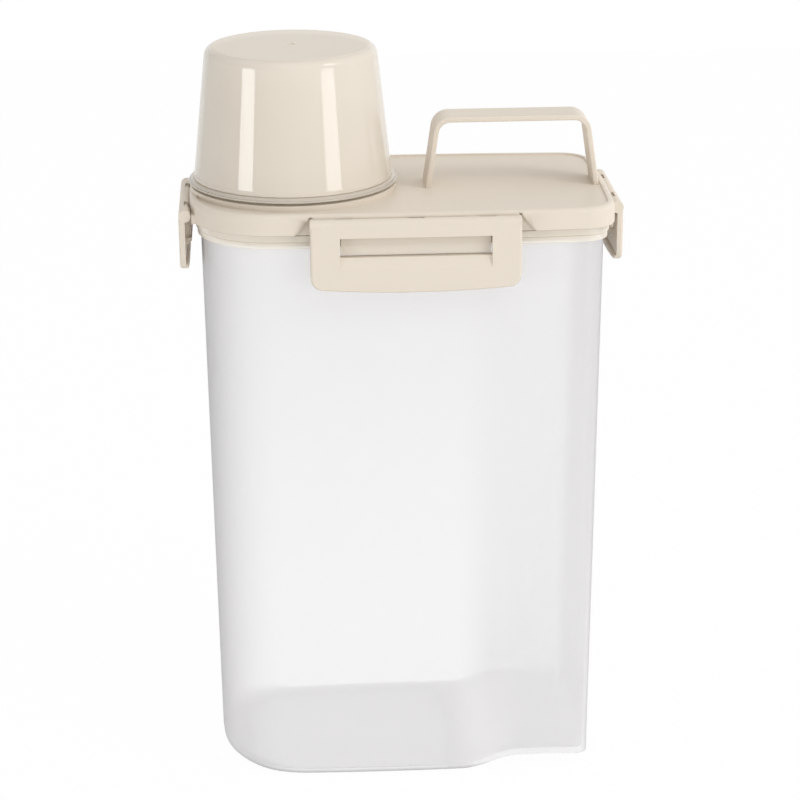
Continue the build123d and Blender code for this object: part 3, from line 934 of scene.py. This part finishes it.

# Handle: one flat strap of the lid's plastic, wide enough for three or four fingers. It is bent down at both ends
# into legs that lean out and run down into the lid's panel.
handle_low, handle_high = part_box("handle")
strap = 2.2 * mm
strap_edge = 0.6 * mm
strap_bend = 5.9 * mm
handle_middle = (handle_low.x + handle_high.x) / 2
foot_reach = (handle_high.x - handle_low.x - strap) / 2
strap_half_length = 31 * mm
top_reach = strap_half_length - strap / 2
strap_tree, given, realize = shape_tree("bent_strap", "Thickness", "Width", "Bend", "Edge Round")
nodes, link = strap_tree.nodes, strap_tree.links.new
path = nodes.new("GeometryNodeMeshToCurve")
link(given.outputs["Geometry"], path.inputs["Mesh"])
outline = nodes.new("GeometryNodeCurvePrimitiveQuadrilateral")
link(given.outputs["Width"], outline.inputs["Width"])
link(given.outputs["Thickness"], outline.inputs["Height"])
rounds = []
for source, radius, count in ((path, "Bend", 12), (outline, "Edge Round", 4)):
    soft = nodes.new("GeometryNodeFilletCurve")
    soft.mode = "POLY"
    soft.inputs["Count"].default_value = count
    link(source.outputs["Curve"], soft.inputs["Curve"])
    link(given.outputs[radius], soft.inputs["Radius"])
    rounds.append(soft)
sweep = nodes.new("GeometryNodeCurveToMesh")
sweep.inputs["Fill Caps"].default_value = True
link(rounds[0].outputs["Curve"], sweep.inputs["Curve"])
link(rounds[1].outputs["Curve"], sweep.inputs["Profile Curve"])
link(sweep.outputs["Mesh"], realize.inputs["Geometry"])
mesh = bpy.data.meshes.new("handle_strap")
mesh.from_pydata([
    (handle_middle - foot_reach, 0, handle_low.z),
    (handle_middle - top_reach, 0, handle_high.z - strap / 2),
    (handle_middle + top_reach, 0, handle_high.z - strap / 2),
    (handle_middle + foot_reach, 0, handle_low.z),
], [(0, 1), (1, 2), (2, 3)], [])
handle = grown("handle_strap", strap_tree, mesh, {
    "Thickness": strap,
    "Width": handle_high.y - handle_low.y,
    "Bend": strap_bend,
    "Edge Round": strap_edge,
    "Material": beige,
})
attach(handle, "container")
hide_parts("handle")

# Latches: four stiff flaps that hang on the lid's clips, each with a slot over the container's tab, a hook
# below it and a thick lower lip for the finger. They are the CAD solids in the lid's plastic.
for node in ("front_latch", "back_latch", "left_latch", "right_latch"):
    frame["nodes"][node].data.materials.clear()
    frame["nodes"][node].data.materials.append(beige)

# Stage: a pale floor that keeps the shadow under a white background, soft light from four boxes, and the camera of
# the photograph.
floor_size = 3
floor_colour = (0.95, 0.95, 0.95, 1)
white_share = 0.97
white = (1, 1, 1, 1)
light_from_left = 0.35
light_from_right = 1.12
bpy.ops.mesh.primitive_plane_add(size=floor_size, location=(0, 0, 0))
ground = bpy.context.object
ground.name = "floor"


def seen_rays(nodes, links):
    """A value of 1 for rays from the camera, also those that come by way of a reflection or a clear piece."""
    path = nodes.new("ShaderNodeLightPath")
    seen = path.outputs["Is Camera Ray"]
    for kind in ("Is Glossy Ray", "Is Transmission Ray"):
        either = nodes.new("ShaderNodeMath")
        either.operation = "MAXIMUM"
        links.new(seen, either.inputs[0])
        links.new(path.outputs[kind], either.inputs[1])
        seen = either.outputs[0]
    return seen


floor_paint, nodes, links = new_material("floor_paint")
matt = nodes.new("ShaderNodeBsdfDiffuse")
matt.inputs["Color"].default_value = floor_colour
glow = nodes.new("ShaderNodeEmission")
glow.inputs["Color"].default_value = white
blend = nodes.new("ShaderNodeMixShader")
share = nodes.new("ShaderNodeMath")
share.operation = "MULTIPLY"
share.inputs[1].default_value = white_share
output = nodes.new("ShaderNodeOutputMaterial")
links.new(seen_rays(nodes, links), share.inputs[0])
links.new(share.outputs[0], blend.inputs["Fac"])
links.new(matt.outputs["BSDF"], blend.inputs[1])
links.new(glow.outputs["Emission"], blend.inputs[2])
links.new(blend.outputs["Shader"], output.inputs["Surface"])
ground.data.materials.append(floor_paint)

world = bpy.data.worlds.new("studio")
bpy.context.scene.world = world
world.use_nodes = True
nodes, links = world.node_tree.nodes, world.node_tree.links
nodes.clear()
backdrop = nodes.new("ShaderNodeBackground")
backdrop.inputs["Color"].default_value = white
dim = nodes.new("ShaderNodeBackground")
dim.inputs["Color"].default_value = white
heading = nodes.new("ShaderNodeTexCoord")
parts = nodes.new("ShaderNodeSeparateXYZ")
from_right = nodes.new("ShaderNodeMapRange")
from_right.inputs["From Min"].default_value = -1
from_right.inputs["To Min"].default_value = light_from_left
from_right.inputs["To Max"].default_value = light_from_right
links.new(heading.outputs["Generated"], parts.inputs["Vector"])
links.new(parts.outputs["X"], from_right.inputs["Value"])
links.new(from_right.outputs["Result"], dim.inputs["Strength"])
blend = nodes.new("ShaderNodeMixShader")
output = nodes.new("ShaderNodeOutputWorld")
links.new(seen_rays(nodes, links), blend.inputs["Fac"])
links.new(dim.outputs["Background"], blend.inputs[1])
links.new(backdrop.outputs["Background"], blend.inputs[2])
links.new(blend.outputs["Shader"], output.inputs["Surface"])

target = Vector((0.29 * mm, 0, 151.83 * mm))
view_distance = 1042.8 * mm
view_elevation = 0.3323
view_azimuth = -0.0592
view_roll = -0.0066
focal_pixels = 2505
image_pixels = 800
film_width = 36


def direction(azimuth, elevation):
    """The way from the object to a place round it, with azimuth 0 in front."""
    return Vector((sin(azimuth) * cos(elevation), -cos(azimuth) * cos(elevation), sin(elevation)))


back = direction(view_azimuth, view_elevation)
right = (-back).cross(Vector((0, 0, 1))).normalized()
up = right.cross(-back)
rolled_right = cos(view_roll) * right + sin(view_roll) * up
rolled_up = -sin(view_roll) * right + cos(view_roll) * up
camera_data = bpy.data.cameras.new("camera")
camera_data.sensor_width = film_width
camera_data.lens = film_width * focal_pixels / image_pixels
camera = bpy.data.objects.new("camera", camera_data)
turn = Matrix((rolled_right, rolled_up, back)).transposed().to_4x4()
camera.matrix_world = Matrix.Translation(target + back * view_distance) @ turn
bpy.context.scene.collection.objects.link(camera)
bpy.context.scene.camera = camera


def softbox(name, azimuth, elevation, distance, width, height, power):
    """A soft rectangular lamp that faces the object from a direction."""
    lamp = bpy.data.lights.new(name, "AREA")
    lamp.shape = "RECTANGLE"
    lamp.size = width
    lamp.size_y = height
    lamp.energy = power
    stand = bpy.data.objects.new(name, lamp)
    away = direction(azimuth, elevation)
    facing = away.to_track_quat("Z", "Y").to_matrix().to_4x4()
    stand.matrix_world = Matrix.Translation(target + away * distance) @ facing
    bpy.context.scene.collection.objects.link(stand)


softbox("right_box", azimuth=radians(45), elevation=0, distance=1.3, width=0.42, height=0.3, power=2)
softbox("left_box", azimuth=radians(-58), elevation=0, distance=1.3, width=0.4, height=0.3, power=2.7)
softbox("key_box", azimuth=radians(55), elevation=radians(42), distance=1.3, width=0.3, height=0.3, power=2)
softbox("top_box", azimuth=0, elevation=radians(65), distance=1.2, width=0.8, height=0.8, power=1.4)
bpy.context.scene.view_settings.view_transform = "Standard"
